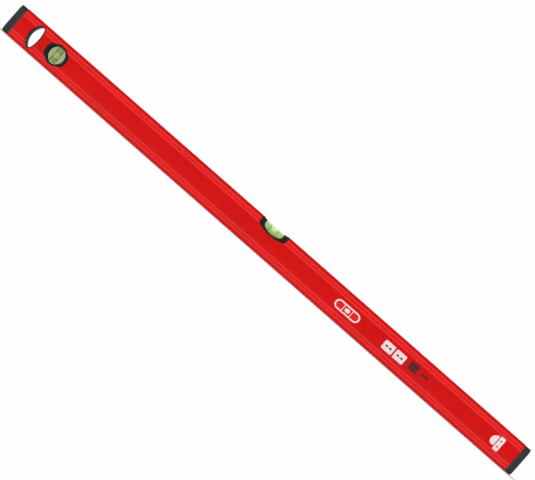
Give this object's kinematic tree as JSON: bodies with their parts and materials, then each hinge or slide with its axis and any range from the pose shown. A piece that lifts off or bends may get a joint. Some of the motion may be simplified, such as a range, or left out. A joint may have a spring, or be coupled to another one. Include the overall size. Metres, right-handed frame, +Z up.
{
  "type": "spirit level",
  "caption": "Box-section spirit level with a level vial in a notch in its top edge, a plumb vial and a lens-shaped hand hole near its left end, and pull-off end caps.",
  "frame": {"origin": "on the lower measuring face, under the middle of the beam", "axes": "+X along the beam to the end without the plumb vial, -Y out of the front, +Z up to the upper measuring face"},
  "size_m": [1, 0.021, 0.05],
  "materials": {
    "beam_coating": "satin",
    "black_insert": "satin",
    "cap_core": "satin",
    "cap_rubber": "matte",
    "clear_acrylic": "polished",
    "vial_liquid": "polished",
    "vial_bubble": "polished",
    "vial_stopper": "satin",
    "reading_ring": "satin"
  },
  "bodies": {
    "level_body": {"beam": "beam_coating", "hand_hole_liner_front": "black_insert", "hand_hole_liner_back": "black_insert", "plumb_bezel_front": "black_insert", "plumb_bezel_back": "black_insert", "plumb_vial_block": "clear_acrylic", "plumb_vial_liquid": "vial_liquid", "plumb_vial_stopper": "vial_stopper", "plumb_vial_ring_lower": "reading_ring", "plumb_vial_ring_upper": "reading_ring", "centre_cradle_front": "black_insert", "centre_cradle_back": "black_insert", "centre_vial_block": "clear_acrylic", "centre_vial_liquid": "vial_liquid", "centre_vial_stopper": "vial_stopper", "centre_vial_ring_left": "reading_ring", "centre_vial_ring_right": "reading_ring"},
    "left_end_cap": {"end_cap_left_core": "cap_core", "end_cap_left_bumper": "cap_rubber"},
    "right_end_cap": {"end_cap_right_core": "cap_core", "end_cap_right_bumper": "cap_rubber"},
    "centre_bubble": {"centre_vial_bubble": "vial_bubble"},
    "plumb_bubble": {"plumb_vial_bubble": "vial_bubble"}
  },
  "joints": [
    {"name": "centre_bubble_travel", "type": "slide", "parent": "level_body", "child": "centre_bubble", "axis": [1, 0, 0], "range_m": [-0.011, 0.011], "stiffness_N_per_m": 8},
    {"name": "plumb_bubble_travel", "type": "slide", "parent": "level_body", "child": "plumb_bubble", "axis": [0, 0, 1], "range_m": [-0.006, 0.006], "stiffness_N_per_m": 8},
    {"name": "left_end_cap_pull", "type": "slide", "parent": "level_body", "child": "left_end_cap", "axis": [-1, 0, 0], "range_m": [0, 0.02]},
    {"name": "right_end_cap_pull", "type": "slide", "parent": "level_body", "child": "right_end_cap", "axis": [1, 0, 0], "range_m": [0, 0.02]}
  ]
}
